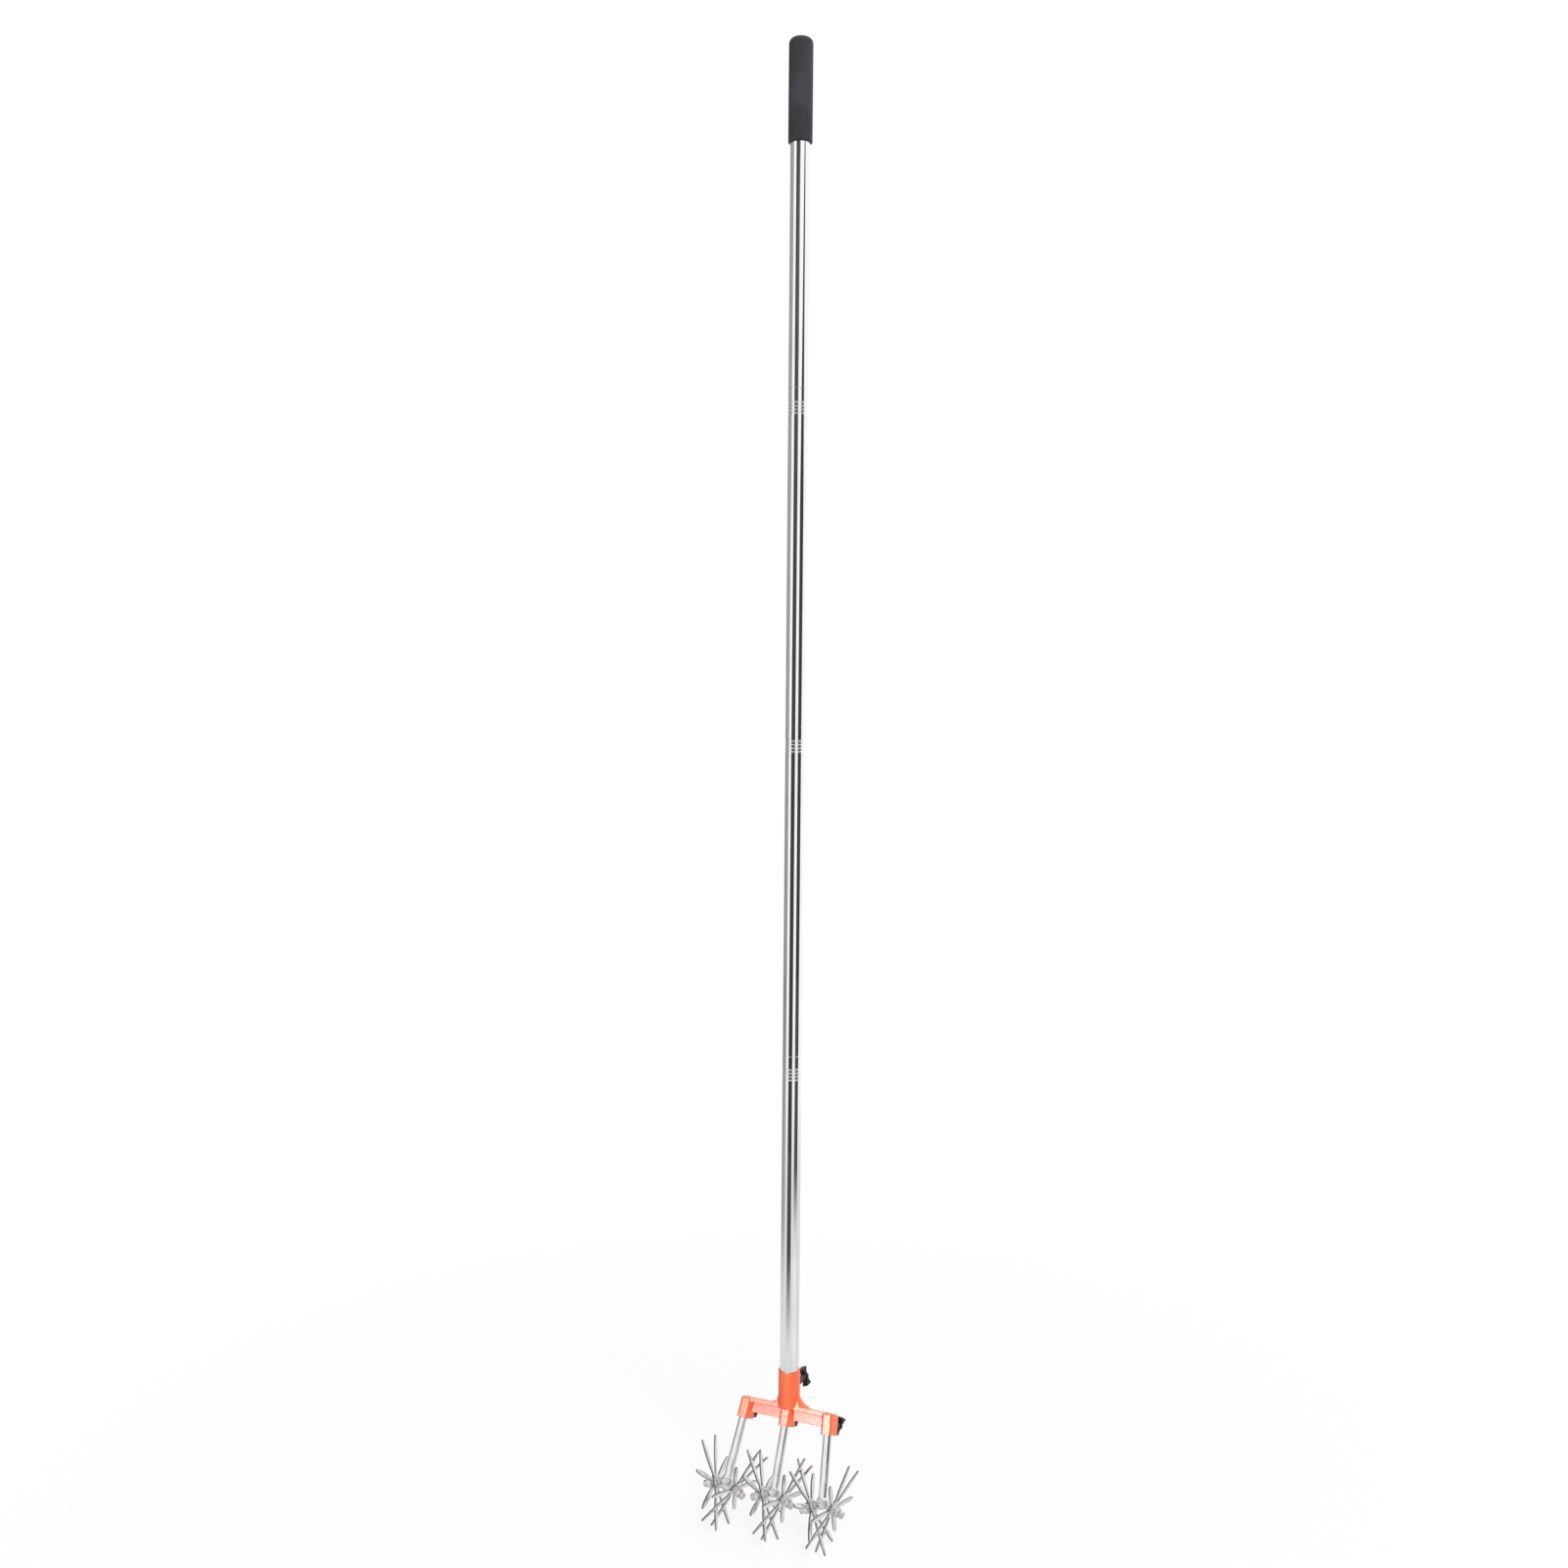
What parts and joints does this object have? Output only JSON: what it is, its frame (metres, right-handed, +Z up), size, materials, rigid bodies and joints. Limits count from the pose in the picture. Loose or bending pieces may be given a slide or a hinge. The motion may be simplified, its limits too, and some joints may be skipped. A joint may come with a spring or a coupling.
{
  "type": "rotary_hand_cultivator",
  "caption": "Long-handled rotary cultivator: a screwed steel pole with a closed grip, and a cast orange head with clamped rods that carry canted star wheels to break up soil.",
  "frame": {"origin": "middle of the grip's straight length, on the pole's axis", "axes": "+Z up along the pole, +X along the crossbar, -Y to the front"},
  "size_m": [0.1812, 0.1493, 1.6903],
  "materials": {
    "grip_rubber": "matte soft plastic",
    "polished_steel": "polished stainless steel",
    "zinc_steel": "zinc-plated steel",
    "orange_paint": "powder-coated casting",
    "black_plastic": "moulded, semi-matte",
    "screw_steel": "zinc-plated thread",
    "rod_steel": "bright plated steel",
    "wheel_steel": "stamped steel plate"
  },
  "bodies": {
    "pole": {"grip": "grip_rubber", "tube_1": "polished_steel", "tube_2": "polished_steel", "tube_3": "polished_steel", "tube_4": "polished_steel", "spigot_1": "zinc_steel", "spigot_2": "zinc_steel", "spigot_3": "zinc_steel", "sleeve_1": "zinc_steel", "sleeve_2": "zinc_steel", "sleeve_3": "zinc_steel"},
    "head": {"head": "orange_paint"},
    "screw_pole": {"clamp_screw_pole": "screw_steel"},
    "wing_pole": {"wing_pole": "black_plastic"},
    "rod_left": {"rod_left": "rod_steel", "axle_left": "zinc_steel", "lock_pin_left": "zinc_steel", "spacers_left": "zinc_steel", "inner_washers_left": "zinc_steel", "outer_washers_left": "zinc_steel", "lock_nuts_left": "zinc_steel", "axle_caps_left": "zinc_steel"},
    "screw_left": {"clamp_screw_left": "screw_steel"},
    "wing_left": {"wing_left": "black_plastic"},
    "rod_middle": {"rod_middle": "rod_steel", "axle_middle": "zinc_steel", "lock_pin_middle": "zinc_steel", "spacers_middle": "zinc_steel", "inner_washers_middle": "zinc_steel", "outer_washers_middle": "zinc_steel", "lock_nuts_middle": "zinc_steel", "axle_caps_middle": "zinc_steel"},
    "screw_middle": {"clamp_screw_middle": "screw_steel"},
    "wing_middle": {"wing_middle": "black_plastic"},
    "rod_right": {"rod_right": "rod_steel", "axle_right": "zinc_steel", "lock_pin_right": "zinc_steel", "spacers_right": "zinc_steel", "inner_washers_right": "zinc_steel", "outer_washers_right": "zinc_steel", "lock_nuts_right": "zinc_steel", "axle_caps_right": "zinc_steel"},
    "screw_right": {"clamp_screw_right": "screw_steel"},
    "wing_right": {"wing_right": "black_plastic"},
    "wheel_1": {"wheel_1": "wheel_steel", "bush_1": "zinc_steel"},
    "wheel_2": {"wheel_2": "wheel_steel", "bush_2": "zinc_steel"},
    "wheel_3": {"wheel_3": "wheel_steel", "bush_3": "zinc_steel"},
    "wheel_4": {"wheel_4": "wheel_steel", "bush_4": "zinc_steel"},
    "wheel_5": {"wheel_5": "wheel_steel", "bush_5": "zinc_steel"},
    "wheel_6": {"wheel_6": "wheel_steel", "bush_6": "zinc_steel"}
  },
  "joints": [
    {"name": "head_swivel", "type": "hinge", "parent": "pole", "child": "head", "pos_m": [0, 0, -1.448], "axis": [0, 0, 1], "continuous": true},
    {"name": "clamp_pole_travel", "type": "slide", "parent": "head", "child": "screw_pole", "axis": [0, 1, 0], "range_m": [0, 0.003]},
    {"name": "clamp_pole_turn", "type": "hinge", "parent": "screw_pole", "child": "wing_pole", "pos_m": [0, 0, -1.476], "axis": [0, 1, 0], "range_deg": [0, 1080]},
    {"name": "rod_left_slide", "type": "slide", "parent": "head", "child": "rod_left", "axis": [-0.0958, -0.4207, -0.9021], "range_m": [0, 0.005]},
    {"name": "clamp_left_travel", "type": "slide", "parent": "head", "child": "screw_left", "axis": [0, 0.9063, -0.4226], "range_m": [0, 0.003]},
    {"name": "clamp_left_turn", "type": "hinge", "parent": "screw_left", "child": "wing_left", "pos_m": [-0.05226, -0.00754, -1.50187], "axis": [0, 0.9063, -0.4226], "range_deg": [0, 1080]},
    {"name": "rod_middle_slide", "type": "slide", "parent": "head", "child": "rod_middle", "axis": [0, -0.4226, -0.9063], "range_m": [0, 0.005]},
    {"name": "clamp_middle_travel", "type": "slide", "parent": "head", "child": "screw_middle", "axis": [0, 0.9063, -0.4226], "range_m": [0, 0.003]},
    {"name": "clamp_middle_turn", "type": "hinge", "parent": "screw_middle", "child": "wing_middle", "pos_m": [0, -0.00756, -1.50193], "axis": [0, 0.9063, -0.4226], "range_deg": [0, 1080]},
    {"name": "rod_right_slide", "type": "slide", "parent": "head", "child": "rod_right", "axis": [0.0958, -0.4207, -0.9021], "range_m": [0, 0.005]},
    {"name": "clamp_right_travel", "type": "slide", "parent": "head", "child": "screw_right", "axis": [0, 0.9063, -0.4226], "range_m": [0, 0.003]},
    {"name": "clamp_right_turn", "type": "hinge", "parent": "screw_right", "child": "wing_right", "pos_m": [0.05226, -0.00754, -1.50187], "axis": [0, 0.9063, -0.4226], "range_deg": [0, 1080]},
    {"name": "wheel_1_spin", "type": "hinge", "parent": "rod_left", "child": "wheel_1", "pos_m": [-0.07333, -0.04363, -1.57928], "axis": [0.9483, 0.1341, 0.2876], "continuous": true},
    {"name": "wheel_2_spin", "type": "hinge", "parent": "rod_left", "child": "wheel_2", "pos_m": [-0.04787, -0.04467, -1.5815], "axis": [0.8704, -0.2081, -0.4463], "continuous": true},
    {"name": "wheel_3_spin", "type": "hinge", "parent": "rod_middle", "child": "wheel_3", "pos_m": [-0.01279, -0.04434, -1.58081], "axis": [0.9135, 0.1719, 0.3686], "continuous": true},
    {"name": "wheel_4_spin", "type": "hinge", "parent": "rod_middle", "child": "wheel_4", "pos_m": [0.01279, -0.04434, -1.58081], "axis": [0.9135, -0.1719, -0.3686], "continuous": true},
    {"name": "wheel_5_spin", "type": "hinge", "parent": "rod_right", "child": "wheel_5", "pos_m": [0.04787, -0.04467, -1.5815], "axis": [0.8704, 0.2081, 0.4463], "continuous": true},
    {"name": "wheel_6_spin", "type": "hinge", "parent": "rod_right", "child": "wheel_6", "pos_m": [0.07333, -0.04363, -1.57928], "axis": [0.9483, -0.1341, -0.2876], "continuous": true}
  ],
  "couplings": [
    {"joint": "clamp_pole_turn", "follows": "clamp_pole_travel", "rad_per_m": 6283.2},
    {"joint": "clamp_left_turn", "follows": "clamp_left_travel", "rad_per_m": 6283.2},
    {"joint": "clamp_middle_turn", "follows": "clamp_middle_travel", "rad_per_m": 6283.2},
    {"joint": "clamp_right_turn", "follows": "clamp_right_travel", "rad_per_m": 6283.2},
    {"joint": "wheel_1_spin", "follows": "wheel_4_spin", "ratio": 1},
    {"joint": "wheel_2_spin", "follows": "wheel_4_spin", "ratio": 1},
    {"joint": "wheel_3_spin", "follows": "wheel_4_spin", "ratio": 1},
    {"joint": "wheel_5_spin", "follows": "wheel_4_spin", "ratio": 1},
    {"joint": "wheel_6_spin", "follows": "wheel_4_spin", "ratio": 1}
  ]
}
